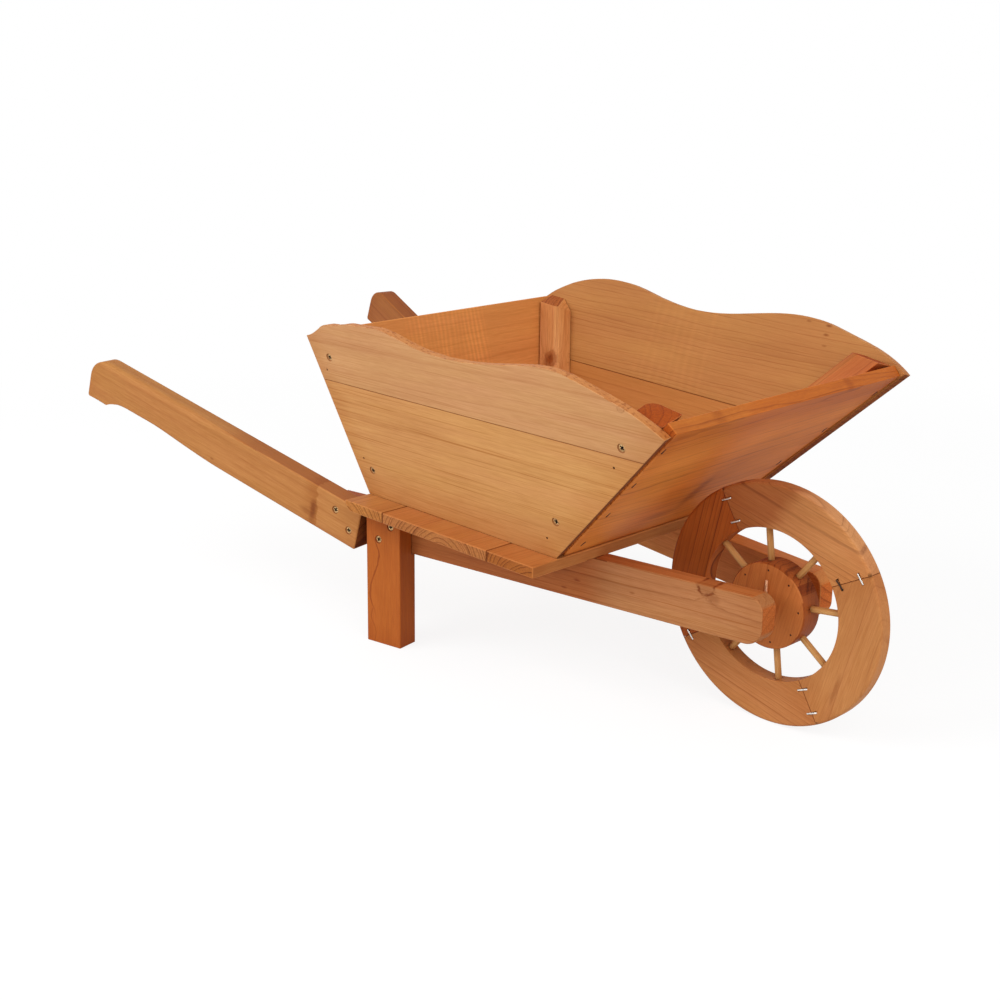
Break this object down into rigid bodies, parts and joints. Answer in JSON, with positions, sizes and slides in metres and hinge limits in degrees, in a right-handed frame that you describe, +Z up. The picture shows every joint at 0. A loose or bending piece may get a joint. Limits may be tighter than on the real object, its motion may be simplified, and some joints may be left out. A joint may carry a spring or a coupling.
{
  "type": "wheelbarrow planter",
  "caption": "Wooden wheelbarrow planter: a flared tub with wave-cut sides on cross boards, two toed-in rails with a spoked wheel, two handles and two legs.",
  "frame": {"origin": "on the ground, below the middle of the whole barrow in plan", "axes": "+X forward to the wheel, +Y to the left of a person at the handles, +Z up"},
  "size_m": [0.9549, 0.4552, 0.3569],
  "materials": {
    "side_wood": "satin",
    "end_wood": "satin",
    "batten_wood": "satin",
    "floor_wood": "satin",
    "rail_wood": "satin",
    "leg_wood": "satin",
    "handle_wood": "satin",
    "wheel_wood": "satin",
    "hub_wood": "satin",
    "dowel_wood": "satin",
    "zinc_steel": "zinc plated",
    "nail_steel": "dull"
  },
  "bodies": {
    "frame": {"right_side_upper_board": "side_wood", "right_side_lower_board": "side_wood", "back_right_batten": "batten_wood", "front_right_batten": "batten_wood", "right_rail": "rail_wood", "right_leg": "leg_wood", "right_handle": "handle_wood", "left_side_upper_board": "side_wood", "left_side_lower_board": "side_wood", "back_left_batten": "batten_wood", "front_left_batten": "batten_wood", "left_rail": "rail_wood", "left_leg": "leg_wood", "left_handle": "handle_wood", "front_board": "end_wood", "back_board": "end_wood", "back_floor_board": "floor_wood", "middle_floor_board": "floor_wood", "front_floor_board": "floor_wood", "side_screws": "zinc_steel", "leg_screws": "zinc_steel", "handle_screws": "zinc_steel", "front_staples": "zinc_steel", "side_brads": "nail_steel"},
    "wheel": {"felloe_1": "wheel_wood", "felloe_2": "wheel_wood", "felloe_3": "wheel_wood", "felloe_4": "wheel_wood", "spoke_1": "dowel_wood", "spoke_2": "dowel_wood", "spoke_3": "dowel_wood", "spoke_4": "dowel_wood", "spoke_5": "dowel_wood", "spoke_6": "dowel_wood", "spoke_7": "dowel_wood", "spoke_8": "dowel_wood", "hub": "hub_wood", "axle": "dowel_wood", "axle_pin": "nail_steel", "rim_staples": "zinc_steel", "hub_nails": "nail_steel"}
  },
  "joints": [
    {"name": "wheel_spin", "type": "hinge", "parent": "frame", "child": "wheel", "pos_m": [0.36487, 0, 0.113], "axis": [0, 1, 0], "continuous": true}
  ]
}
